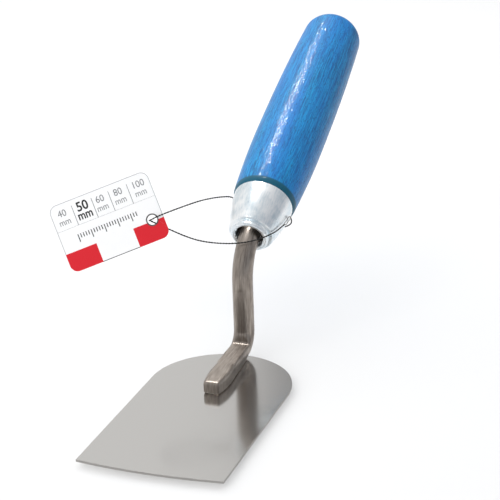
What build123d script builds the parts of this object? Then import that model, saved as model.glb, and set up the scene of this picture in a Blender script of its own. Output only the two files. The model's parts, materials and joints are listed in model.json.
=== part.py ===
from build123d import *
from math import cos, radians, sin, tan
import os

# Small plasterer's trowel: a flat steel blade, a forged shank welded on top of it and bent up
# into a turned wooden handle, a pressed steel ferrule, and a size tag on a wire tie.
# Millimetres. The origin is the middle of the blade's working face, +Y runs towards the
# handle and +Z is up. Everything but the tie and its tag is symmetrical about the plane X = 0.

# ---- driving dimensions: blade ----
BLADE_WIDTH = 50.0
BLADE_LENGTH = 89.5
BLADE_THICKNESS = 0.8
BLADE_NOSE_BOW = 1.6          # how far the working edge bulges forward
BLADE_REAR_BOW = 24.6         # depth of the round rear end

# ---- driving dimensions: shank ----
WELD_GAP = 0.2                # light between blade and foot, bridged by the weld spots
WELD_DIAMETER = 3.6
WELD_PITCH = 10.0
SHANK_DIAMETER = 7.4
FOOT_LENGTH = 28.0            # flat contact length on the blade
FOOT_NOSE_WIDTH = 5.6
FOOT_SHOULDER_WIDTH = 7.0
FOOT_SHOULDER_SHARE = 0.13    # of the contact length, from the nose
FOOT_WAIST_WIDTH = 7.7
FOOT_WAIST_SHARE = 0.35
FOOT_REAR_WIDTH = 6.4
FOOT_REAR_SHARE = 0.70
FOOT_HEEL_WIDTH = 5.4
FOOT_TAIL_WIDTH = 2.4         # under the neck, where the round bar is wider
FOOT_NOSE_HEIGHT = 4.4
FOOT_HEEL_HEIGHT = 5.7
FOOT_TOP_ROUND = 1.0
FOOT_CORNER_ROUND = 0.8
ROUND_BAR_SHARE = 0.45        # of the contact length, where the bar is still round below
HEEL_BEND_RADIUS = 9.9        # outer radius of the lower bend
HEEL_BEND_ANGLE = 75          # degrees of that bend that the foot's flat sides follow
NECK_SETBACK = 1.0            # neck axis behind the blade's rear end
NECK_HEIGHT = 38.0            # bend corner above the blade's top face
NECK_BEND_RADIUS = 16.3
MARK_DEPTH = 0.25             # hammer flat on the front of the neck
MARK_BOTTOM = 9.0
MARK_TOP = 26.0
TANG_ROOT = 5.2
TANG_TIP = 2.4
TANG_POINT = 3.0
TANG_POINT_WIDTH = 0.6
TANG_LENGTH = 61.0

# ---- driving dimensions: ferrule, along the handle axis from its mouth ----
HANDLE_PITCH = 24.4           # handle axis above horizontal, degrees
MOUTH_FROM_CORNER = 8.7       # along the handle axis, bend corner to ferrule mouth
FERRULE_LENGTH = 17.7
FERRULE_MOUTH_RADIUS = 7.45   # of the flared body, carried on to the mouth
FERRULE_BIG_RADIUS = 10.95
FERRULE_FLARE = 1.6           # 1 is a cone, more is rounder
FERRULE_WALL = 0.8
LIP_CLEARANCE = 1.4           # light between the neck and the lip's bore
LIP_WALL = 1.8
LIP_LENGTH = 1.3
GROOVE_WIDTH = 0.8
GROOVE_DEPTH = 0.35
BODY_FRONT_ROUND = 0.5

# ---- driving dimensions: wooden handle ----
NOSE_SETBACK = 6.0            # end of the wood inside the ferrule, behind the mouth
HANDLE_LENGTH = 101.8         # visible wood, from the ferrule to the butt
SHOULDER_LENGTH = 1.9
SHOULDER_SWELL = 0.65         # wood standing above the ferrule at the end of the shoulder
BELLY_RADIUS = 12.87
BELLY_FROM_FERRULE = 34.0
BUTT_RADIUS = 11.35
BUTT_ROUND = 7.5
SHOULDER_SLOPE = 0.075        # radius change per millimetre behind the ferrule
BUTT_SLOPE = -0.06

# ---- driving dimensions: size tag and its wire tie ----
CARD_WIDTH = 37.4
CARD_HEIGHT = 24.9
CARD_THICKNESS = 0.5
CARD_CORNER = 2.9
HOLE_FROM_MIDDLE = 14.5       # tag hole, along the card from its middle
HOLE_BELOW_MIDDLE = 4.88
EYELET_BORE_RADIUS = 1.8
EYELET_TUBE_WALL = 0.2
EYELET_FLANGE_WIDTH = 0.25    # beyond the tube
EYELET_FLANGE_THICKNESS = 0.12
WIRE_DIAMETER = 0.55
HOLE_CENTRE = (-33.90, 47.10, 48.38)
CARD_ALONG = (0.842, 0.441, 0.310)    # direction of the printed lines
CARD_FACING = (0.324, -0.874, 0.363)  # out of the printed side
EYE_WIRE_DIAMETER = 0.3       # one strand alone
EYE_LENGTH = 4.4              # between centrelines, along and across
EYE_WIDTH = 0.9
EYE_CENTRE = (11.12, 63.92, 46.20)
EYE_ALONG = (0.177, 0.917, 0.357)
EYE_FACING = (0.07, -0.412, 0.908)

# Route of the tie wire: from the eye beside the ferrule, down over its mouth, across the front
# of the neck, out to the tag, through the tag's hole and back round the ferrule's far side.
WIRE_ROUTE = [
    (10.6, 61.9, 45.5),
    (9.6, 57.6, 44.7),
    (8.3, 53.2, 44.6),
    (5.8, 49.7, 44.1),
    (2.2, 47.4, 43.4),
    (-3.2, 46.6, 42.5),
    (-9.6, 47.2, 41.8),
    (-16.5, 48.4, 41.5),
    (-22.9, 49.9, 42.2),
    (-27.9, 49.1, 44.4),
    (-32.6, 48.3, 46.5),
    (-35.2, 47.5, 47.9),
    (-34.5, 45.8, 48.4),
    (-32.1, 47.0, 49.8),
    (-28.1, 49.4, 51.2),
    (-24.3, 54.4, 51.9),
    (-20.4, 60.8, 52.2),
    (-16.6, 67.7, 51.4),
    (-13.1, 75.3, 49.4),
    (-11.3, 75.3, 44.8),
    (-7.6, 76.1, 41.1),
    (-2.2, 76.2, 38.7),
    (3.5, 75.1, 38.6),
    (8.3, 73.0, 40.6),
    (11.1, 69.7, 43.9),
    (11.4, 65.9, 47.1),
]

# ---- derived places ----
blade_top = BLADE_THICKNESS
foot_bottom = blade_top + WELD_GAP
shank_radius = SHANK_DIAMETER / 2
blade_front_y = -BLADE_LENGTH / 2
blade_rear_y = BLADE_LENGTH / 2
neck_y = blade_rear_y + NECK_SETBACK
heel_axis_radius = HEEL_BEND_RADIUS - shank_radius
heel_y = neck_y - heel_axis_radius
foot_front_y = heel_y - FOOT_LENGTH
foot_axis_z = foot_bottom + shank_radius
corner = Vector(0, neck_y, blade_top + NECK_HEIGHT)
handle_direction = Vector(0, cos(radians(HANDLE_PITCH)), sin(radians(HANDLE_PITCH)))
mouth = corner + handle_direction * MOUTH_FROM_CORNER
lip_bore_radius = shank_radius + LIP_CLEARANCE
lip_radius = lip_bore_radius + LIP_WALL
eyelet_tube_radius = EYELET_BORE_RADIUS + EYELET_TUBE_WALL
handle_plane = Plane(origin=mouth, x_dir=(1, 0, 0), z_dir=handle_direction)
card_plane = Plane(origin=HOLE_CENTRE, x_dir=CARD_ALONG, z_dir=CARD_FACING)


def write(shape, name):
    export_step(shape, f"parts/{name}.step")


def turned(outline_face):
    """Solid of revolution about the handle axis, from a face of (radius, station) points."""
    upright = Plane.XZ.location * outline_face
    return handle_plane.location * revolve(upright, Axis.Z, 360)


def blade():
    half = BLADE_WIDTH / 2
    side_end_y = blade_rear_y - BLADE_REAR_BOW
    corner_y = blade_front_y + BLADE_NOSE_BOW
    with BuildSketch() as outline:
        with BuildLine():
            Line((-half, side_end_y), (-half, corner_y))
            ThreePointArc((-half, corner_y), (0, blade_front_y), (half, corner_y))
            Line((half, corner_y), (half, side_end_y))
            ThreePointArc((half, side_end_y), (0, blade_rear_y), (-half, side_end_y))
        make_face()
    return extrude(outline.sketch, BLADE_THICKNESS)


def foot_block():
    """Flattened end of the bar: its outline from above, cut to its outline from the side."""
    widths = [
        (foot_front_y, FOOT_NOSE_WIDTH),
        (foot_front_y + FOOT_SHOULDER_SHARE * FOOT_LENGTH, FOOT_SHOULDER_WIDTH),
        (foot_front_y + FOOT_WAIST_SHARE * FOOT_LENGTH, FOOT_WAIST_WIDTH),
        (foot_front_y + FOOT_REAR_SHARE * FOOT_LENGTH, FOOT_REAR_WIDTH),
        (heel_y, FOOT_HEEL_WIDTH),
        (neck_y, FOOT_TAIL_WIDTH),
    ]
    right = [(width / 2, y) for y, width in widths]
    left = [(-width / 2, y) for y, width in reversed(widths)]
    with BuildSketch(Plane.XY.offset(foot_bottom)) as above:
        with BuildLine():
            Line(left[-1], right[0])
            Spline(*right)
            Line(right[-1], left[0])
            Spline(*left)
        make_face()
    with BuildSketch(Plane.YZ) as side:
        with BuildLine():
            heel = JernArc((heel_y, foot_bottom), (1, 0), HEEL_BEND_RADIUS, HEEL_BEND_ANGLE)
            Polyline(
                heel @ 1,
                (neck_y, foot_bottom + FOOT_HEEL_HEIGHT),
                (foot_front_y, foot_bottom + FOOT_NOSE_HEIGHT),
                (foot_front_y, foot_bottom),
                (heel_y, foot_bottom),
            )
        make_face()
    plan = extrude(above.sketch, 2 * HEEL_BEND_RADIUS)
    block = plan & extrude(side.sketch, FOOT_WAIST_WIDTH, both=True)
    block = fillet(block.edges().filter_by(Axis.Z).group_by(Axis.Y)[0], FOOT_CORNER_ROUND)
    top = block.faces().sort_by(Axis.Y).filter_by(lambda face: face.normal_at().Z > 0.9)[0]
    rim = top.edges().sort_by(Axis.Y)[:-1]
    return fillet(rim, FOOT_TOP_ROUND)


def shank():
    """One forged bar: flattened foot, neck bent up into the handle, square tapered tang."""
    start = Vector(0, heel_y - ROUND_BAR_SHARE * FOOT_LENGTH, foot_axis_z)
    heel_corner = Vector(0, neck_y, foot_axis_z)
    tang_start = mouth + handle_direction * NOSE_SETBACK
    route = FilletPolyline(
        start,
        heel_corner,
        corner,
        tang_start,
        radius=[heel_axis_radius, NECK_BEND_RADIUS],
    )
    bar = sweep(Plane(origin=start, z_dir=(0, 1, 0)) * Circle(shank_radius), path=route)

    # the hammer took the bar's upper side off in front of the neck
    foot_slope = (FOOT_HEEL_HEIGHT - FOOT_NOSE_HEIGHT) / (neck_y - foot_front_y)
    neck_front_y = neck_y - shank_radius
    crease_z = foot_bottom + FOOT_NOSE_HEIGHT + foot_slope * (neck_front_y - foot_front_y)
    far_z = foot_bottom + FOOT_NOSE_HEIGHT
    with BuildSketch(Plane.YZ) as waste:
        with BuildLine():
            Polyline(
                (neck_front_y, crease_z),
                (foot_front_y, far_z),
                (foot_front_y, crease_z + SHANK_DIAMETER),
                (neck_front_y, crease_z + SHANK_DIAMETER),
                close=True,
            )
        make_face()
    bar -= extrude(waste.sketch, SHANK_DIAMETER, both=True)
    body = bar + foot_block()

    mark_height = MARK_TOP - MARK_BOTTOM
    mark = Box(SHANK_DIAMETER, 2 * MARK_DEPTH, mark_height)
    body -= Pos(0, neck_front_y, blade_top + MARK_BOTTOM + mark_height / 2) * mark

    tang_plane = Plane(origin=tang_start, x_dir=(1, 0, 0), z_dir=handle_direction)
    root = tang_plane * Rectangle(TANG_ROOT, TANG_ROOT)
    tip = tang_plane.offset(TANG_LENGTH) * Rectangle(TANG_TIP, TANG_TIP)
    point = tang_plane.offset(TANG_LENGTH + TANG_POINT) * Rectangle(TANG_POINT_WIDTH, TANG_POINT_WIDTH)
    return body + loft([root, tip]) + loft([tip, point])


def weld_spots():
    """Resistance-weld nuggets between foot and blade."""
    middle_y = (foot_front_y + heel_y) / 2
    nuggets = []
    for step in (-1, 0, 1):
        place = Plane(origin=(0, middle_y + step * WELD_PITCH, blade_top))
        nuggets.append(extrude(place * Circle(WELD_DIAMETER / 2), WELD_GAP))
    return Compound(nuggets)


def flare(station, offset=0.0):
    """Ferrule radius at a station, less an offset: steep at the mouth, straight at the wood."""
    share = 1 - station / FERRULE_LENGTH
    rise = FERRULE_BIG_RADIUS - FERRULE_MOUTH_RADIUS
    return FERRULE_BIG_RADIUS - rise * share**FERRULE_FLARE - offset


def flare_points(first, last, offset=0.0):
    stations = [first + (last - first) * step / 6 for step in range(7)]
    return [(flare(station, offset), station) for station in stations]


def ferrule():
    """Pressed steel cup: a rolled lip, a groove, then a flared body open to the wood."""
    groove_end = LIP_LENGTH + GROOVE_WIDTH
    groove_bottom = (lip_radius - GROOVE_DEPTH, LIP_LENGTH + GROOVE_WIDTH / 2)
    lip_round = LIP_WALL / 2
    lip_front = (lip_bore_radius + lip_round, 0)
    outer = flare_points(groove_end + BODY_FRONT_ROUND, FERRULE_LENGTH)
    inner = flare_points(groove_end + FERRULE_WALL, FERRULE_LENGTH, FERRULE_WALL)
    body_front = (outer[0][0] - BODY_FRONT_ROUND, groove_end)
    with BuildSketch() as wall:
        with BuildLine():
            Spline(*outer)
            Line(outer[-1], inner[-1])
            Spline(*reversed(inner))
            Line(inner[0], (lip_bore_radius, groove_end + FERRULE_WALL))
            Line((lip_bore_radius, groove_end + FERRULE_WALL), (lip_bore_radius, lip_round))
            ThreePointArc((lip_bore_radius, lip_round), lip_front, (lip_radius, lip_round))
            Line((lip_radius, lip_round), (lip_radius, LIP_LENGTH))
            ThreePointArc((lip_radius, LIP_LENGTH), groove_bottom, (lip_radius, groove_end))
            Line((lip_radius, groove_end), body_front)
            RadiusArc(body_front, outer[0], -BODY_FRONT_ROUND)
        make_face()
    return turned(wall.sketch)


def handle(tang, shell):
    """Turned beech: a nose inside the ferrule, a shoulder, a slim belly and a rounded butt."""
    nose = flare_points(NOSE_SETBACK, FERRULE_LENGTH, FERRULE_WALL)
    end = FERRULE_LENGTH + HANDLE_LENGTH
    shoulder_end = FERRULE_LENGTH + SHOULDER_LENGTH
    grip_start = (FERRULE_BIG_RADIUS + SHOULDER_SWELL, shoulder_end)
    grip_end = (BUTT_RADIUS, end - BUTT_ROUND)
    butt_flat = BUTT_RADIUS - BUTT_ROUND
    with BuildSketch() as half:
        with BuildLine():
            Line((0, NOSE_SETBACK), nose[0])
            Spline(*nose)
            Line(nose[-1], (FERRULE_BIG_RADIUS, FERRULE_LENGTH))
            TangentArc(grip_start, (FERRULE_BIG_RADIUS, FERRULE_LENGTH), tangent=(-SHOULDER_SLOPE, -1))
            Spline(
                grip_start,
                (BELLY_RADIUS, FERRULE_LENGTH + BELLY_FROM_FERRULE),
                grip_end,
                tangents=[(SHOULDER_SLOPE, 1), (0, 1), (BUTT_SLOPE, 1)],
            )
            RadiusArc(grip_end, (butt_flat, end), -BUTT_ROUND)
            Line((butt_flat, end), (0, end))
            Line((0, end), (0, NOSE_SETBACK))
        make_face()
    return turned(half.sketch) - tang - shell


def tag_card():
    middle = Pos(-HOLE_FROM_MIDDLE, HOLE_BELOW_MIDDLE, 0)
    card = middle * RectangleRounded(CARD_WIDTH, CARD_HEIGHT, CARD_CORNER)
    hole = Circle(eyelet_tube_radius)
    return extrude(card_plane * (card - hole), CARD_THICKNESS / 2, both=True)


def tag_eyelet():
    """Rolled metal ring: a short tube through the card with a flange on each face."""
    flange_radius = eyelet_tube_radius + EYELET_FLANGE_WIDTH
    half_length = CARD_THICKNESS / 2 + EYELET_FLANGE_THICKNESS
    tube = Circle(eyelet_tube_radius) - Circle(EYELET_BORE_RADIUS)
    flange = Circle(flange_radius) - Circle(EYELET_BORE_RADIUS)
    ring = extrude(card_plane * tube, half_length, both=True)
    for side in (1, -1):
        face_plane = card_plane.offset(side * CARD_THICKNESS / 2)
        ring += extrude(face_plane * flange, side * EYELET_FLANGE_THICKNESS)
    return ring


def wire_tube():
    """Round tube along the route; each corner's arc is as large as its two runs allow."""
    points = [Vector(*place) for place in WIRE_ROUTE]
    runs = [after - before for before, after in zip(points, points[1:])]
    radii = []
    for before, after in zip(runs, runs[1:]):
        turn = radians(before.get_angle(after))
        radii.append(0.45 * min(before.length, after.length) / tan(turn / 2))
    print("wire radii", [round(radius, 1) for radius in radii])
    route = FilletPolyline(*points, radius=radii)
    section = Plane(origin=points[0], z_dir=runs[0]) * Circle(WIRE_DIAMETER / 2)
    tube = sweep(section, path=route)
    print("wire length", round(route.length, 1))
    print("tube volume / section x length", round(tube.volume / (section.area * route.length), 4))
    return tube


def wire_eye():
    """Closed oval in the wire's end, which the other end hooks into."""
    plane = Plane(origin=EYE_CENTRE, x_dir=EYE_ALONG, z_dir=EYE_FACING)
    straight = EYE_LENGTH - EYE_WIDTH
    half = EYE_WIDTH / 2
    with BuildLine(plane) as oval:
        Line((-straight / 2, -half), (straight / 2, -half))
        ThreePointArc((straight / 2, -half), (EYE_LENGTH / 2, 0), (straight / 2, half))
        Line((straight / 2, half), (-straight / 2, half))
        ThreePointArc((-straight / 2, half), (-EYE_LENGTH / 2, 0), (-straight / 2, -half))
    section = Plane(origin=oval.line @ 0, z_dir=oval.line % 0) * Circle(EYE_WIRE_DIAMETER / 2)
    return sweep(section, path=oval.line)


os.makedirs("parts", exist_ok=True)
bar = shank()
shell = ferrule()
write(blade(), "blade")
write(bar, "shank")
write(weld_spots(), "weld_spots")
write(shell, "ferrule")
write(handle(bar, shell), "handle")
write(tag_card(), "tag_card")
write(tag_eyelet(), "tag_eyelet")
write(wire_tube(), "tie_wire")
write(wire_eye(), "tie_eye")
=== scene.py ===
import json
from math import atan2, cos, pi, radians, sin, tau

import bmesh
import bpy
from mathutils import Matrix, Quaternion, Vector


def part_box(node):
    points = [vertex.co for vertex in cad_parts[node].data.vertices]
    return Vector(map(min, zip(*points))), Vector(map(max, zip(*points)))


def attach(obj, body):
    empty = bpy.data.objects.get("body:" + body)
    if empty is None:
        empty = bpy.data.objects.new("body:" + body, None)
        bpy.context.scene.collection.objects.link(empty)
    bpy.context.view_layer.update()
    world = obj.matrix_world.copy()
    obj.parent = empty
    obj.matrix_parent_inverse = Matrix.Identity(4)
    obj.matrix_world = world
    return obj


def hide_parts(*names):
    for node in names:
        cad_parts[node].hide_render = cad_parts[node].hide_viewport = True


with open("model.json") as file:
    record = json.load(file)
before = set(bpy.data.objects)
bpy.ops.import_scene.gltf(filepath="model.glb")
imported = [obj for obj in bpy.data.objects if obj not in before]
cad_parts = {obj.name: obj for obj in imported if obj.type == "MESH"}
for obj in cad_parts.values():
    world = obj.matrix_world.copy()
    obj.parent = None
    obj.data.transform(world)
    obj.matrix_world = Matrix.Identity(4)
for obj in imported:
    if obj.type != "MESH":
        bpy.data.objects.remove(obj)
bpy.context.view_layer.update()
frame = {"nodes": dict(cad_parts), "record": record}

# ---- Camera ----
# A long lens a little above the bench, to the right of the working edge.
camera_target = Vector((-0.00667, 0.07245, 0.030))
camera_azimuth, camera_elevation, camera_roll = radians(20.337), radians(21.281), radians(-1.987)
camera_distance = 0.600

camera_data = bpy.data.cameras.new("camera")
camera_data.lens = 117.47
camera_data.sensor_width = 36
camera_data.clip_start = 0.01
camera = bpy.data.objects.new("camera", camera_data)
bpy.context.collection.objects.link(camera)
camera_turn = (
    Matrix.Rotation(camera_azimuth, 4, "Z")
    @ Matrix.Rotation(pi / 2 - camera_elevation, 4, "X")
    @ Matrix.Rotation(camera_roll, 4, "Z")
)
camera_place = camera_target + camera_turn @ Vector((0, 0, camera_distance))
camera.matrix_world = Matrix.Translation(camera_place) @ camera_turn
bpy.context.scene.camera = camera

# ---- Tie wire ----
# Two soft iron strands twisted together, one black and one galvanised. The wire goes from the
# eye beside the ferrule across the front of the neck, through the tag and back round. Its
# route is in millimetres.
wire_diameter = 0.55e-3
strand_diameter = 0.34e-3
twist_pitch = 2.3e-3
wire_route = [
    (10.6, 61.9, 45.5),
    (9.6, 57.6, 44.7),
    (8.3, 53.2, 44.6),
    (5.8, 49.7, 44.1),
    (2.2, 47.4, 43.4),
    (-3.2, 46.6, 42.5),
    (-9.6, 47.2, 41.8),
    (-16.5, 48.4, 41.5),
    (-22.9, 49.9, 42.2),
    (-27.9, 49.1, 44.4),
    (-32.6, 48.3, 46.5),
    (-35.2, 47.5, 47.9),
    (-34.5, 45.8, 48.4),
    (-32.1, 47.0, 49.8),
    (-28.1, 49.4, 51.2),
    (-24.3, 54.4, 51.9),
    (-20.4, 60.8, 52.2),
    (-16.6, 67.7, 51.4),
    (-13.1, 75.3, 49.4),
    (-11.3, 75.3, 44.8),
    (-7.6, 76.1, 41.1),
    (-2.2, 76.2, 38.7),
    (3.5, 75.1, 38.6),
    (8.3, 73.0, 40.6),
    (11.1, 69.7, 43.9),
    (11.4, 65.9, 47.1),
]
route_unit = 0.001
line_steps = 24


def linear(hex_colour):
    """sRGB hex to the linear RGBA that a shader socket takes."""
    channels = [int(hex_colour[i : i + 2], 16) / 255 for i in (1, 3, 5)]
    return [c / 12.92 if c <= 0.04045 else ((c + 0.055) / 1.055) ** 2.4 for c in channels] + [1.0]


def new_material(name, **constants):
    """A material with its Principled BSDF set by socket name."""
    material = bpy.data.materials.new(name)
    material.use_nodes = True
    shader = material.node_tree.nodes["Principled BSDF"]
    for socket, value in constants.items():
        shader.inputs[socket.replace("_", " ")].default_value = value
    return material


def new_piece(name, mesh, body, slot, *materials):
    """An object at the origin that rides on a body."""
    for material in materials:
        mesh.materials.append(material)
    piece = bpy.data.objects.new(name, mesh)
    bpy.context.collection.objects.link(piece)
    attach(piece, body)
    return piece


def new_curve(name):
    """An empty curve in space."""
    curve = bpy.data.curves.new(name, "CURVE")
    curve.dimensions = "3D"
    return curve


def curve_mesh(curve):
    """The mesh that a curve or text makes."""
    holder = bpy.data.objects.new(curve.name, curve)
    bpy.context.collection.objects.link(holder)
    mesh = bpy.data.meshes.new_from_object(holder)
    bpy.data.objects.remove(holder)
    return mesh


def smooth_line(points, name):
    """The smooth line that has these points as its control points."""
    curve = new_curve(name)
    curve.resolution_u = line_steps
    spline = curve.splines.new("NURBS")
    spline.points.add(len(points) - 1)
    for control, point in zip(spline.points, points):
        control.co = (*point, 1)
    spline.order_u = 3
    spline.use_endpoint_u = True
    return [vertex.co.copy() for vertex in curve_mesh(curve).vertices]


def even_steps(points, step):
    """Points along a line at one even spacing."""
    out = [points[0]]
    left = step
    for start, end in zip(points, points[1:]):
        span = (end - start).length
        done = 0.0
        while span - done >= left:
            done += left
            out.append(start.lerp(end, done / span))
            left = step
        left -= span - done
    return out


def strand_lines(points, offset, pitch, steps_per_turn=14):
    """Two lines wound round a line, opposite each other."""
    line = even_steps(points, pitch / steps_per_turn)
    forward = (line[1] - line[0]).normalized()
    across = forward.orthogonal().normalized()
    lines = [[], []]
    for index, point in enumerate(line):
        ahead = (line[min(index + 1, len(line) - 1)] - line[max(index - 1, 0)]).normalized()
        across = forward.rotation_difference(ahead) @ across
        forward = ahead
        for strand in (0, 1):
            turn = Quaternion(ahead, tau * index / steps_per_turn + pi * strand)
            lines[strand].append(point + turn @ across * offset)
    return lines


def strand_mesh(lines, name):
    """A round wire along each line, each with its own material."""
    curve = new_curve(name)
    curve.bevel_depth = strand_diameter / 2
    curve.bevel_resolution = 1
    curve.use_fill_caps = True
    for strand, line in enumerate(lines):
        spline = curve.splines.new("POLY")
        spline.points.add(len(line) - 1)
        for control, point in zip(spline.points, line):
            control.co = (*point, 1)
        spline.material_index = strand
    mesh = curve_mesh(curve)
    mesh.shade_smooth()
    return mesh


# annealed iron is nearly black with a dull shine; zinc on the other strand keeps it light grey
black_wire = new_material(
    "annealed_iron_wire", Base_Color=linear("#1D1C1B"), Metallic=0.5, Roughness=0.45
)
grey_wire = new_material(
    "galvanised_iron_wire", Base_Color=linear("#8F8C88"), Metallic=0.7, Roughness=0.45
)

wire_line = smooth_line([Vector(place) * route_unit for place in wire_route], "wire_line")
wire_strands = strand_lines(wire_line, (wire_diameter - strand_diameter) / 2, twist_pitch)
wire_mesh = strand_mesh(wire_strands, "twisted_tie_wire")
tie_wire = new_piece("twisted_tie_wire", wire_mesh, "tie", "tie_wire", black_wire, grey_wire)
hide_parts("tie_wire")

# ---- Eye in the end of the wire ----
# One strand bent round into a long thin eye, which holds both ends of the wire's loop. It is
# bare galvanised iron and stands just clear of the ferrule's side.


def dress(node, material):
    """Gives a CAD node's every material slot one finish."""
    for material_slot in frame["nodes"][node].material_slots:
        material_slot.material = material


dress("tie_eye", grey_wire)

# ---- Blade ----
# Stainless sheet, blanked to shape with a slightly bowed working edge and a round rear end,
# then ground to a satin face with the grain along it. The blanked rim is broken a little.
blade_low, blade_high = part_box("blade")
nose_bow = 1.6e-3
rear_bow = 24.6e-3
rim_break = 0.05e-3
nose_steps, rear_steps = 24, 72
blade_half = (blade_high[0] - blade_low[0]) / 2


def add_node(material, kind, settings=None, **links):
    """One shader node with its settings; a link is a node, an output socket or a plain value."""
    tree = material.node_tree
    node = tree.nodes.new(kind)
    for name, value in (settings or {}).items():
        setattr(node, name, value)
    for name, value in links.items():
        named = [s for s in node.inputs if name in (s.identifier, s.name.replace(" ", "_"))]
        socket = next((s for s in named if s.enabled), named[0])
        if isinstance(value, bpy.types.Node):
            value = result(value)
        if isinstance(value, bpy.types.NodeSocket):
            tree.links.new(value, socket)
        else:
            socket.default_value = value
    return node


def result(node):
    """The output that a node gives with its present settings."""
    return next(socket for socket in node.outputs if socket.enabled)


def finish_with(material, **links):
    """Links nodes to the sockets of a material's shader."""
    shader = material.node_tree.nodes["Principled BSDF"]
    for name, node in links.items():
        material.node_tree.links.new(result(node), shader.inputs[name.replace("_", " ")])


def bow_arc(half, bow, tip_y, facing, steps):
    """Points of the arc between two sides a half width off the middle that bulges to tip_y."""
    radius = (half**2 + bow**2) / (2 * bow)
    reach = atan2(half, radius - bow)
    points = []
    for step in range(steps + 1):
        angle = facing * pi / 2 + reach * (2 * step / steps - 1)
        points.append((radius * cos(angle), tip_y + radius * (sin(angle) - facing), 0))
    return points


blade_bm = bmesh.new()
outline = bow_arc(blade_half, nose_bow, blade_low[1], -1, nose_steps)
outline += bow_arc(blade_half, rear_bow, blade_high[1], 1, rear_steps)
blade_face = blade_bm.faces.new([blade_bm.verts.new(point) for point in outline])
raised = bmesh.ops.extrude_face_region(blade_bm, geom=[blade_face])["geom"]
raised_verts = [v for v in raised if isinstance(v, bmesh.types.BMVert)]
bmesh.ops.translate(blade_bm, verts=raised_verts, vec=(0, 0, blade_high[2] - blade_low[2]))
bmesh.ops.translate(blade_bm, verts=blade_bm.verts, vec=(0, 0, blade_low[2]))
bmesh.ops.recalc_face_normals(blade_bm, faces=blade_bm.faces)
rim = [e for e in blade_bm.edges if abs(e.verts[0].co.z - e.verts[1].co.z) < rim_break]
bmesh.ops.bevel(
    blade_bm, geom=rim, offset=rim_break, segments=2, profile=0.5, affect="EDGES", material=-1
)
for face in blade_bm.faces:
    face.material_index = 0 if abs(face.normal.z) > 0.99 else 1
blade_mesh = bpy.data.meshes.new("blade_sheet")
blade_bm.to_mesh(blade_mesh)
blade_bm.free()

# satin stainless mirrors what stands on it, a little blurred, with hair lines from the belt,
# which are drawn coarser than real so that they show
stainless = new_material("satin_stainless_sheet", Base_Color=linear("#CCCAC7"), Metallic=1.0)
hair_width, hair_length, hair_depth = 0.15e-3, 18e-3, 0.02e-3
stainless_hairs = add_node(
    stainless,
    "ShaderNodeTexNoise",
    Scale=1.0,
    Detail=4.0,
    Roughness=0.6,
    Vector=add_node(
        stainless,
        "ShaderNodeMapping",
        {"vector_type": "TEXTURE"},
        Vector=add_node(stainless, "ShaderNodeTexCoord").outputs["Object"],
        Scale=(hair_width, hair_length, hair_length),
    ),
)
finish_with(
    stainless,
    Roughness=add_node(
        stainless, "ShaderNodeMapRange", Value=stainless_hairs, To_Min=0.10, To_Max=0.2
    ),
    Normal=add_node(
        stainless, "ShaderNodeBump", Height=stainless_hairs, Strength=0.06, Distance=hair_depth
    ),
)

# the blanked rim is torn by the die: rougher and a little darker than the face
rim_tear = 0.5e-3
sheared_rim = new_material("sheared_stainless_rim", Base_Color=linear("#A9A6A3"), Metallic=1.0)
rim_tears = add_node(
    sheared_rim,
    "ShaderNodeTexNoise",
    Vector=add_node(sheared_rim, "ShaderNodeTexCoord").outputs["Object"],
    Scale=1 / rim_tear,
)
finish_with(
    sheared_rim,
    Roughness=add_node(sheared_rim, "ShaderNodeMapRange", Value=rim_tears, To_Min=0.45, To_Max=0.7),
)
blade_sheet = new_piece("blade_sheet", blade_mesh, "trowel", "blade_steel", stainless, sheared_rim)
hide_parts("blade")

# ---- Shank ----
# A round stainless bar forged flat under the hammer where it meets the blade and bent up twice
# into the handle. The dies leave soft edges, a crease at the heel and a flat on the neck's front.
forge_grain = 0.24e-3
forge_softening = 24
neck_flat_low, neck_flat_high = 9.5e-3, 28e-3
neck_flat_half = 1.5e-3
neck_flat_fade_low, neck_flat_fade_high = 1.5e-3, 10e-3
merge_distance = 1e-6

shank_bm = bmesh.new()
shank_bm.from_mesh(frame["nodes"]["shank"].data)
bmesh.ops.remove_doubles(shank_bm, verts=shank_bm.verts, dist=merge_distance)
rough_mesh = bpy.data.meshes.new("rough_shank")
shank_bm.to_mesh(rough_mesh)
shank_bm.free()
rough_shank = bpy.data.objects.new("rough_shank", rough_mesh)
bpy.context.collection.objects.link(rough_shank)
skin = rough_shank.modifiers.new("skin", "REMESH")
skin.mode = "VOXEL"
skin.voxel_size = forge_grain
soften = rough_shank.modifiers.new("soften", "SMOOTH")
soften.factor = 0.5
soften.iterations = forge_softening
softened = rough_shank.evaluated_get(bpy.context.evaluated_depsgraph_get())
forged_mesh = bpy.data.meshes.new_from_object(softened)
bpy.data.objects.remove(rough_shank)
forged_mesh.name = "forged_shank"
forged_mesh.shade_smooth()

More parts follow.
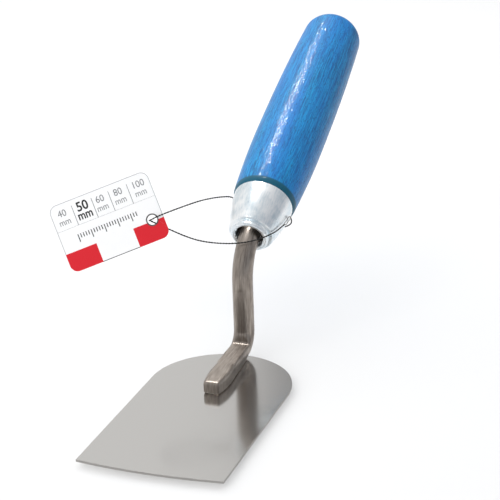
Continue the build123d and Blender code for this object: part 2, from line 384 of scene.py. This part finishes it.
# forged stainless, tumbled after: warm grey, drawn streaks along the bar; the neck's flat is
# painted darker as shade
forged_steel = new_material("forged_stainless_bar", Metallic=1.0)
forged_place = add_node(forged_steel, "ShaderNodeTexCoord").outputs["Object"]
streak_width, streak_length, streak_depth = 0.5e-3, 6e-3, 0.06e-3
blotch_size = 3.5e-3
flat_shade_strength = 0.55
forged_streaks = add_node(
    forged_steel,
    "ShaderNodeTexNoise",
    Scale=1.0,
    Detail=4.0,
    Roughness=0.6,
    Vector=add_node(
        forged_steel,
        "ShaderNodeMapping",
        {"vector_type": "TEXTURE"},
        Vector=forged_place,
        Scale=(streak_width, streak_length, streak_length),
    ),
)
forged_blotches = add_node(
    forged_steel, "ShaderNodeTexNoise", Vector=forged_place, Scale=1 / blotch_size, Detail=3.0
)
forged_xyz = add_node(forged_steel, "ShaderNodeSeparateXYZ", Vector=forged_place)
flat_bottom = add_node(
    forged_steel,
    "ShaderNodeMapRange",
    {"interpolation_type": "SMOOTHSTEP"},
    Value=forged_xyz.outputs["Z"],
    From_Min=neck_flat_low,
    From_Max=neck_flat_low + neck_flat_fade_low,
)
flat_top = add_node(
    forged_steel,
    "ShaderNodeMapRange",
    {"interpolation_type": "SMOOTHSTEP"},
    Value=forged_xyz.outputs["Z"],
    From_Min=neck_flat_high,
    From_Max=neck_flat_high - neck_flat_fade_high,
)
flat_side = add_node(
    forged_steel,
    "ShaderNodeMapRange",
    {"interpolation_type": "SMOOTHSTEP"},
    Value=add_node(
        forged_steel, "ShaderNodeMath", {"operation": "ABSOLUTE"}, Value=forged_xyz.outputs["X"]
    ),
    From_Min=1.9 * neck_flat_half,
    From_Max=0.3 * neck_flat_half,
)
flat_ends = add_node(
    forged_steel, "ShaderNodeMath", {"operation": "MULTIPLY"}, Value=flat_bottom, Value_001=flat_top
)
# painted shade: the neck's front flat, fading out towards its ends and sides
flat_shade_mask = add_node(
    forged_steel, "ShaderNodeMath", {"operation": "MULTIPLY"}, Value=flat_ends, Value_001=flat_side
)
forged_tone = add_node(
    forged_steel,
    "ShaderNodeMix",
    {"data_type": "RGBA"},
    Factor_Float=add_node(
        forged_steel, "ShaderNodeMapRange", Value=forged_streaks, From_Min=0.3, From_Max=0.7
    ),
    A_Color=linear("#786F68"),
    B_Color=linear("#AAA198"),
)
finish_with(
    forged_steel,
    Base_Color=add_node(
        forged_steel,
        "ShaderNodeMix",
        {"data_type": "RGBA"},
        Factor_Float=add_node(
            forged_steel,
            "ShaderNodeMath",
            {"operation": "MULTIPLY"},
            Value=flat_shade_mask,
            Value_001=flat_shade_strength,
        ),
        A_Color=forged_tone,
        # painted shade colour on the neck's flat
        B_Color=linear("#5A514B"),
    ),
    Roughness=add_node(
        forged_steel, "ShaderNodeMapRange", Value=forged_blotches, To_Min=0.26, To_Max=0.5
    ),
    Normal=add_node(
        forged_steel, "ShaderNodeBump", Height=forged_streaks, Strength=0.3, Distance=streak_depth
    ),
)
forged_shank = new_piece("forged_shank", forged_mesh, "trowel", "forged_steel", forged_steel)
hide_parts("shank")

# ---- Weld spots ----
# Three resistance-weld nuggets that join the foot to the blade, seen only as a dark line of
# shadow between the two.
nugget_grain_size = 0.6e-3

# weld metal is left as it froze: dull and grainy
nugget_steel = new_material("weld_nugget_steel", Base_Color=linear("#7A726A"), Metallic=1.0)
nugget_grain = add_node(
    nugget_steel,
    "ShaderNodeTexNoise",
    Vector=add_node(nugget_steel, "ShaderNodeTexCoord").outputs["Object"],
    Scale=1 / nugget_grain_size,
)
finish_with(
    nugget_steel,
    Roughness=add_node(
        nugget_steel, "ShaderNodeMapRange", Value=nugget_grain, To_Min=0.4, To_Max=0.65
    ),
)
dress("weld_spots", nugget_steel)

# ---- Ferrule ----
# Drawn from mild steel sheet and bright zinc plated: a rolled lip and groove at the mouth, then
# a flare that is pressed over the wood. The draw leaves faint lines along it.
swivel, swing = frame["record"]["behaviour"]["joints"]
ferrule_mouth = Vector(swivel["pos_m"])
handle_axis = Vector(swivel["axis"])
handle_turn = Vector((0, 0, 1)).rotation_difference(handle_axis).to_euler()
draw_width, draw_length, draw_depth = 0.5e-3, 14e-3, 0.05e-3
draw_share = 0.35
cloud_size = 5e-3

# bright zinc is a cool pale grey, cloudy where the bath left it duller
zinc = new_material("bright_zinc_plate", Metallic=1.0)
zinc_place = add_node(zinc, "ShaderNodeTexCoord").outputs["Object"]
draw_lines = add_node(
    zinc,
    "ShaderNodeTexNoise",
    Scale=1.0,
    Detail=3.0,
    Vector=add_node(
        zinc,
        "ShaderNodeMapping",
        {"vector_type": "TEXTURE"},
        Vector=zinc_place,
        Location=ferrule_mouth,
        Rotation=handle_turn,
        Scale=(draw_width, draw_width, draw_length),
    ),
)
zinc_clouds = add_node(
    zinc, "ShaderNodeTexNoise", Vector=zinc_place, Scale=1 / cloud_size, Detail=3.0
)
zinc_tone = add_node(
    zinc, "ShaderNodeMix", Factor_Float=draw_share, A_Float=zinc_clouds, B_Float=draw_lines
)
finish_with(
    zinc,
    Base_Color=add_node(
        zinc,
        "ShaderNodeMix",
        {"data_type": "RGBA"},
        Factor_Float=add_node(
            zinc, "ShaderNodeMapRange", Value=zinc_tone, From_Min=0.38, From_Max=0.6
        ),
        A_Color=linear("#D2DEE5"),
        B_Color=linear("#FAFCFD"),
    ),
    Roughness=add_node(zinc, "ShaderNodeMapRange", Value=zinc_clouds, To_Min=0.2, To_Max=0.42),
    Normal=add_node(zinc, "ShaderNodeBump", Height=draw_lines, Strength=0.5, Distance=draw_depth),
)
dress("ferrule", zinc)

# ---- Handle ----
# Beech turned to a slim barrel, stained blue and dipped in gloss lacquer. Fine grain and short
# pores run lengthwise; a darker teal band next to the ferrule is painted shade in the corner there.
ferrule_length = 17.7e-3
corner_shade_width = 2.0e-3
inner_shade_overlap = 0.1e-3
fibre_size, fibre_depth = (0.45e-3, 12e-3), 0.05e-3
band_size = (4.5e-3, 60e-3)
pore_size = (0.38e-3, 1.6e-3)
lacquer_ripple, ripple_depth = 1.5e-3, 0.34e-3

# blue stain sinks deeper in pores than in fibres, and dipped lacquer dries glossy with a fine
# ripple; pores and ripple are drawn coarser than real so that they show. The wood inside the
# ferrule is painted dark brown as shade in the ferrule's mouth
beech = new_material(
    "blue_stained_beech",
    Roughness=0.55,
    Specular_IOR_Level=0.22,
    Coat_Weight=0.3,
    Coat_Roughness=0.05,
)
beech_place = add_node(beech, "ShaderNodeTexCoord").outputs["Object"]
fibre_place, band_place, pore_place, axis_place = [
    add_node(
        beech,
        "ShaderNodeMapping",
        {"vector_type": "TEXTURE"},
        Vector=beech_place,
        Location=ferrule_mouth,
        Rotation=handle_turn,
        Scale=(width, width, length),
    )
    for width, length in (fibre_size, band_size, pore_size, (1.0, 1.0))
]
fibres = add_node(
    beech, "ShaderNodeTexNoise", Vector=fibre_place, Scale=1.0, Detail=4.0, Roughness=0.65
)
bands = add_node(beech, "ShaderNodeTexNoise", Vector=band_place, Scale=1.0, Detail=2.0)
pore_noise = add_node(beech, "ShaderNodeTexNoise", Vector=pore_place, Scale=1.0, Detail=1.0)
pores = add_node(
    beech, "ShaderNodeMapRange", Value=pore_noise, From_Min=0.57, From_Max=0.68, To_Max=0.6
)
from_mouth = add_node(beech, "ShaderNodeSeparateXYZ", Vector=axis_place).outputs["Z"]
grain_tone = add_node(
    beech,
    "ShaderNodeMix",
    {"data_type": "RGBA"},
    Factor_Float=add_node(beech, "ShaderNodeMapRange", Value=fibres, From_Min=0.36, From_Max=0.64),
    A_Color=linear("#064C82"),
    B_Color=linear("#108EC6"),
)
band_tone = add_node(
    beech,
    "ShaderNodeMix",
    {"data_type": "RGBA"},
    Factor_Float=add_node(
        beech, "ShaderNodeMapRange", Value=bands, From_Min=0.35, From_Max=0.7, To_Max=0.6
    ),
    A_Color=grain_tone,
    B_Color=linear("#1273C4"),
)
pore_tone = add_node(
    beech,
    "ShaderNodeMix",
    {"data_type": "RGBA"},
    Factor_Float=pores,
    A_Color=band_tone,
    B_Color=linear("#0A4672"),
)
corner_tone = add_node(
    beech,
    "ShaderNodeMix",
    {"data_type": "RGBA"},
    Factor_Float=add_node(
        beech,
        "ShaderNodeMapRange",
        {"interpolation_type": "SMOOTHSTEP"},
        Value=from_mouth,
        From_Min=ferrule_length + 1.4 * corner_shade_width,
        From_Max=ferrule_length + corner_shade_width,
    ),
    A_Color=pore_tone,
    # painted shade: a darker teal band in the corner next to the ferrule
    B_Color=linear("#004F66"),
)
finish_with(
    beech,
    Base_Color=add_node(
        beech,
        "ShaderNodeMix",
        {"data_type": "RGBA"},
        Factor_Float=add_node(
            beech,
            "ShaderNodeMath",
            {"operation": "LESS_THAN"},
            Value=from_mouth,
            Value_001=ferrule_length - inner_shade_overlap,
        ),
        A_Color=corner_tone,
        # painted shade: the wood inside the ferrule
        B_Color=linear("#2A211A"),
    ),
    Normal=add_node(beech, "ShaderNodeBump", Height=fibres, Strength=0.25, Distance=fibre_depth),
    Coat_Normal=add_node(
        beech,
        "ShaderNodeBump",
        Height=add_node(
            beech, "ShaderNodeTexNoise", Vector=beech_place, Scale=1 / lacquer_ripple, Detail=1.0
        ),
        Strength=1.0,
        Distance=ripple_depth,
    ),
)
dress("handle", beech)

# ---- Size tag ----
# Coated white card with rounded corners, printed with a row of blade widths, a scale of ticks
# and two red blocks along its lower edge. A thin pale outline and a dark line along the bottom edge
# are painted shade of the card's rim. The back is left uncoated.
hole_centre = Vector(swing["pos_m"])
card_facing = Vector(swing["axis"]).normalized()
card_along = Vector((0.842, 0.441, 0.310))
card_along = (card_along - card_facing * card_along.dot(card_facing)).normalized()
card_up = card_facing.cross(card_along)
card_width, card_height, card_thickness = 37.4e-3, 24.9e-3, 0.5e-3
card_corner = 2.9e-3
card_line = 0.25e-3
hole_right, hole_down, hole_radius = 14.5e-3, 4.88e-3, 2.0e-3
block_top = -5.35e-3
block_inner = 7.0e-3
corner_segments, hole_segments = 10, 48
face_limit = 0.5
card_turn = Matrix((card_along, card_up, card_facing)).transposed().to_4x4()
card_middle = hole_centre - card_along * hole_right + card_up * hole_down


def on_card(bm, name, middle=card_middle):
    """The mesh of what is drawn flat round the card's middle, put in its place."""
    bmesh.ops.transform(bm, matrix=Matrix.Translation(middle) @ card_turn, verts=bm.verts)
    mesh = bpy.data.meshes.new(name)
    bm.to_mesh(mesh)
    bm.free()
    return mesh


card_bm = bmesh.new()
bmesh.ops.create_grid(card_bm, x_segments=1, y_segments=1, size=0.5)
bmesh.ops.scale(card_bm, vec=(card_width, card_height, 1), verts=card_bm.verts)
bmesh.ops.bevel(
    card_bm,
    geom=card_bm.verts,
    offset=card_corner,
    segments=corner_segments,
    profile=0.5,
    affect="VERTICES",
    material=-1,
)
bmesh.ops.delete(card_bm, geom=card_bm.faces[:], context="FACES_ONLY")
hole_place = Matrix.Translation((hole_right, -hole_down, 0))
bmesh.ops.create_circle(card_bm, segments=hole_segments, radius=hole_radius, matrix=hole_place)
bmesh.ops.triangle_fill(card_bm, use_beauty=True, edges=card_bm.edges)
for place, across in (
    ((0, block_top, 0), (0, 1, 0)),
    ((-block_inner, 0, 0), (1, 0, 0)),
    ((block_inner, 0, 0), (1, 0, 0)),
):
    card_parts = card_bm.verts[:] + card_bm.edges[:] + card_bm.faces[:]
    bmesh.ops.bisect_plane(card_bm, geom=card_parts, plane_co=place, plane_no=across)
border = bmesh.ops.inset_region(
    card_bm, faces=card_bm.faces[:], use_boundary=True, use_even_offset=True, thickness=card_line
)["faces"]
for face in card_bm.faces:
    face_middle = face.calc_center_median()
    if face_middle.y < block_top and abs(face_middle.x) > block_inner:
        face.material_index = 1
    # painted shade: a pale line round the rim, near black along the bottom edge
    elif face in border:
        face.material_index = 4 if face_middle.y < card_line - card_height / 2 else 3
lifted = bmesh.ops.extrude_face_region(card_bm, geom=card_bm.faces[:])["geom"]
lifted_verts = [v for v in lifted if isinstance(v, bmesh.types.BMVert)]
bmesh.ops.translate(card_bm, verts=lifted_verts, vec=(0, 0, card_thickness))
bmesh.ops.translate(card_bm, verts=card_bm.verts, vec=(0, 0, -card_thickness / 2))
bmesh.ops.recalc_face_normals(card_bm, faces=card_bm.faces)
for face in card_bm.faces:
    # the card's cut edge takes a light grey that is painted shade
    if abs(face.normal.z) < face_limit:
        face.material_index = 2
    elif face.normal.z < 0:
        face.material_index = 5

# calendered card under clear varnish: flat white with a soft sheen, the ink just as smooth; the
# paper's tooth is drawn coarser than real
white_card = new_material("varnished_white_card", Base_Color=linear("#FBFBFB"), Roughness=0.42)
red_ink = new_material("red_offset_ink", Base_Color=linear("#D80A20"), Roughness=0.38)
# painted shade: the cut edge is light grey
shaded_cut_edge = new_material("cut_card_edge", Base_Color=linear("#C9CBCD"), Roughness=0.8)
# painted shade of the card's rim: a pale grey outline and a near-black line along the bottom
pale_shade_line = new_material("pale_grey_offset_ink", Base_Color=linear("#B2B4B6"), Roughness=0.4)
dark_shade_line = new_material("dark_grey_offset_ink", Base_Color=linear("#141516"), Roughness=0.4)
# the back has no varnish: duller, and a little greyer than the front
card_back = new_material("uncoated_card_back", Base_Color=linear("#CCC9C2"), Roughness=0.85)
card_finishes = [white_card, red_ink, shaded_cut_edge, pale_shade_line, dark_shade_line, card_back]
paper_tooth, tooth_depth = 0.35e-3, 0.01e-3
for paper in card_finishes:
    tooth = add_node(
        paper,
        "ShaderNodeTexNoise",
        Vector=add_node(paper, "ShaderNodeTexCoord").outputs["Object"],
        Scale=1 / paper_tooth,
        Detail=2.0,
    )
    finish_with(
        paper,
        Normal=add_node(paper, "ShaderNodeBump", Height=tooth, Strength=0.15, Distance=tooth_depth),
    )
card_mesh = on_card(card_bm, "printed_card")
printed_card = new_piece("printed_card", card_mesh, "tag", "tag_card", *card_finishes)
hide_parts("tag_card")
printed_card.visible_glossy = False

# ---- Tag printing ----
# Figures, rules and ticks as a film of ink on the card's face, grey but for this trowel's own
# width, which is bold and black.
width_places = {40: -14.6e-3, 50: -6.9e-3, 60: -0.2e-3, 80: 6.65e-3, 100: 14.3e-3}
bold_width = 50
figure_row, unit_row = 8.8e-3, 5.6e-3
rule_places = [-10.5e-3, -3.0e-3, 3.45e-3, 10.45e-3]
rule_bottom, rule_top, rule_thickness = 2.95e-3, 10.3e-3, 0.2e-3
tick_first, tick_pitch, tick_count = -12.0e-3, 1.0e-3, 23
tick_long, tick_short, tick_thickness = 2.9e-3, 1.6e-3, 0.32e-3
row_line = 0.07e-3
ink_thickness = 0.02e-3
figure_size, figure_narrowing = 3.5e-3, 0.92
unit_size, unit_narrowing = 3.3e-3, 0.86
bold_figure_size, bold_figure_narrowing = 4.7e-3, 0.94
bold_unit_size, bold_unit_narrowing = 4.3e-3, 0.84
bold_weight = 0.09e-3
figure_steps = 4
ticks_to_long = 5
ink_height = (card_thickness + ink_thickness) / 2


def add_bar(bm, middle, width, bottom, top):
    """An upright bar of ink on the card's face."""
    bar = bmesh.ops.create_cube(bm, size=1.0)["verts"]
    bmesh.ops.scale(bm, vec=(width, top - bottom, ink_thickness), verts=bar)
    bmesh.ops.translate(bm, vec=(middle, (bottom + top) / 2, ink_height), verts=bar)


def add_figures(bm, words, middle, row, size, narrowing, weight):
    """Plain narrow figures centred on a place on the card's face."""
    text = bpy.data.curves.new("figures", "FONT")
    text.body = words
    text.align_x = "CENTER"
    text.align_y = "CENTER"
    text.size = size
    text.offset = weight
    text.extrude = ink_thickness / 2
    text.resolution_u = figure_steps
    mesh = curve_mesh(text)
    place = Matrix.Translation((middle, row, ink_height))
    mesh.transform(place @ Matrix.Diagonal((narrowing, 1, 1, 1)))
    bm.from_mesh(mesh)


grey_bm = bmesh.new()
black_bm = bmesh.new()
for width, middle in width_places.items():
    if width == bold_width:
        figure = (bold_figure_size, bold_figure_narrowing)
        unit = (bold_unit_size, bold_unit_narrowing)
        ink_bm, weight = black_bm, bold_weight
    else:
        figure = (figure_size, figure_narrowing)
        unit = (unit_size, unit_narrowing)
        ink_bm, weight = grey_bm, 0.0
    add_figures(ink_bm, str(width), middle, figure_row, *figure, weight)
    add_figures(ink_bm, "mm", middle, unit_row, *unit, weight)
for middle in rule_places:
    add_bar(grey_bm, middle, rule_thickness, rule_bottom, rule_top)
add_bar(grey_bm, 0, card_width - 2 * card_line, rule_bottom - row_line, rule_bottom)
for tick in range(tick_count):
    tick_length = tick_short if tick % ticks_to_long else tick_long
    add_bar(black_bm, tick_first + tick * tick_pitch, tick_thickness, -tick_length, 0)

# offset ink lies flat and dries to the same soft sheen as the varnish over it
grey_ink = new_material("grey_offset_ink", Base_Color=linear("#77797B"), Roughness=0.4)
black_ink = new_material("black_offset_ink", Base_Color=linear("#101011"), Roughness=0.4)
for ink_bm, name, ink in (
    (grey_bm, "grey_printing", grey_ink),
    (black_bm, "black_printing", black_ink),
):
    printing = new_piece(name, on_card(ink_bm, name), "tag", "tag_card", ink)
    printing.visible_glossy = False

# ---- Eyelet ----
# A thin steel tube set through the card's hole and rolled over on both faces, dark with age.
eyelet_bore, eyelet_tube, eyelet_reach = 1.8e-3, 2.0e-3, 2.25e-3
eyelet_flange = 0.12e-3
roll_round = 0.05e-3
roll_angle = 1
eyelet_steps = 48
face_height = card_thickness / 2
roll_height = face_height + eyelet_flange
eyelet_bm = bmesh.new()
half_section = [
    (eyelet_bore, roll_height),
    (eyelet_reach, roll_height),
    (eyelet_reach, face_height),
    (eyelet_tube, face_height),
]
section = half_section + [(radius, -height) for radius, height in reversed(half_section)]
section_verts = [eyelet_bm.verts.new((radius, 0, height)) for radius, height in section]
section_face = eyelet_bm.faces.new(section_verts)
section_edges = section_face.edges[:]
bmesh.ops.delete(eyelet_bm, geom=[section_face], context="FACES_ONLY")
bmesh.ops.spin(
    eyelet_bm,
    geom=section_verts + section_edges,
    cent=(0, 0, 0),
    axis=(0, 0, 1),
    angle=tau,
    steps=eyelet_steps,
    use_merge=True,
)
bmesh.ops.remove_doubles(eyelet_bm, verts=eyelet_bm.verts, dist=merge_distance)
bmesh.ops.recalc_face_normals(eyelet_bm, faces=eyelet_bm.faces)
rolled_rims = [
    edge
    for edge in eyelet_bm.edges
    if abs(abs(edge.verts[0].co.z) - roll_height) < merge_distance
    and abs(edge.calc_face_angle(0)) > roll_angle
]
bmesh.ops.bevel(
    eyelet_bm,
    geom=rolled_rims,
    offset=roll_round,
    segments=3,
    profile=0.5,
    affect="EDGES",
    material=-1,
)
eyelet_mesh = on_card(eyelet_bm, "rolled_eyelet", hole_centre)
eyelet_mesh.shade_smooth()

# thin steel that has lost its plating: grey with a dull shine
aged_steel = new_material(
    "aged_eyelet_steel", Base_Color=linear("#6A6866"), Metallic=0.8, Roughness=0.4
)
rolled_eyelet = new_piece("rolled_eyelet", eyelet_mesh, "tag", "eyelet_metal", aged_steel)
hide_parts("tag_eyelet")
rolled_eyelet.visible_glossy = False

# ---- Bench and studio light ----
# Seamless pale paper in a light tent, with a soft box overhead and a fill in front. A small lamp
# puts the shine on the lacquer, and a dark card behind on the right shades the blade there. The
# paper lies a little below the blade, so that the blade's shadow spreads.
bench_gap = 2.2e-3
bench_half = 3.0
floor_bm = bmesh.new()
bmesh.ops.create_grid(floor_bm, x_segments=1, y_segments=1, size=bench_half)
bmesh.ops.translate(floor_bm, verts=floor_bm.verts, vec=(0, 0, -bench_gap))
floor_mesh = bpy.data.meshes.new("bench")
floor_bm.to_mesh(floor_mesh)
floor_bm.free()
bench_paper = new_material("matt_white_paper", Base_Color=linear("#D8D8D8"), Roughness=0.9)
floor_mesh.materials.append(bench_paper)
floor = bpy.data.objects.new("bench", floor_mesh)
bpy.context.collection.objects.link(floor)


def soft_box(name, place, aim, width, height, watts, mirrored):
    """A rectangular lamp; one that shows in mirrors casts no shadow, and the others don't show."""
    light = bpy.data.lights.new(name, "AREA")
    light.shape = "RECTANGLE"
    light.size = width
    light.size_y = height
    light.energy = watts
    light.use_shadow = not mirrored
    lamp = bpy.data.objects.new(name, light)
    bpy.context.collection.objects.link(lamp)
    lamp.visible_glossy = mirrored
    lamp.location = place
    lamp.rotation_euler = (Vector(aim) - Vector(place)).to_track_quat("-Z", "Y").to_euler()


soft_box("strip", (-0.26, 0.42, 0.94), (0, 0.1, 0.05), 0.12, 0.12, 6, True)
soft_box("overhead", (-0.30, 0.45, 1.1), (0, 0.05, 0.03), 1.4, 1.4, 3.5, False)
soft_box("front_fill", (-0.2, -0.9, 0.5), (-0.02, 0.06, 0.04), 0.9, 0.9, 4.8, False)

light_tent = bpy.data.worlds.new("light_tent")
light_tent.use_nodes = True
tent_side = add_node(
    light_tent,
    "ShaderNodeVectorMath",
    {"operation": "DOT_PRODUCT"},
    Vector=add_node(light_tent, "ShaderNodeTexCoord").outputs["Generated"],
    Vector_001=(-0.8, 0.2, 0.5),
)
tent_tone = add_node(
    light_tent,
    "ShaderNodeMix",
    {"data_type": "RGBA"},
    Factor_Float=add_node(
        light_tent, "ShaderNodeMapRange", Value=tent_side, From_Min=-0.6, From_Max=0.6
    ),
    A_Color=linear("#B9BDC4"),
    B_Color=linear("#FFFFFF"),
)
back_card = add_node(
    light_tent,
    "ShaderNodeVectorMath",
    {"operation": "DOT_PRODUCT"},
    Vector=add_node(light_tent, "ShaderNodeTexCoord").outputs["Generated"],
    Vector_001=(cos(camera_azimuth), sin(camera_azimuth), 0),
)
behind = add_node(
    light_tent,
    "ShaderNodeVectorMath",
    {"operation": "DOT_PRODUCT"},
    Vector=add_node(light_tent, "ShaderNodeTexCoord").outputs["Generated"],
    Vector_001=(-sin(camera_azimuth), cos(camera_azimuth), 0),
)
card_right = add_node(
    light_tent,
    "ShaderNodeMapRange",
    {"interpolation_type": "SMOOTHSTEP"},
    Value=back_card,
    From_Min=-0.01,
    From_Max=0.02,
    To_Max=0.6,
)
card_behind = add_node(
    light_tent,
    "ShaderNodeMapRange",
    {"interpolation_type": "SMOOTHSTEP"},
    Value=behind,
    From_Min=0.5,
    From_Max=0.8,
)
carded_tone = add_node(
    light_tent,
    "ShaderNodeMix",
    {"data_type": "RGBA"},
    Factor_Float=add_node(
        light_tent,
        "ShaderNodeMath",
        {"operation": "MULTIPLY"},
        Value=card_right,
        Value_001=card_behind,
    ),
    A_Color=tent_tone,
    B_Color=linear("#3A3A3E"),
)
tent_background = light_tent.node_tree.nodes["Background"]
light_tent.node_tree.links.new(result(carded_tone), tent_background.inputs["Color"])
tent_background.inputs["Strength"].default_value = 0.86
bpy.context.scene.world = light_tent
bpy.context.scene.view_settings.view_transform = "Standard"
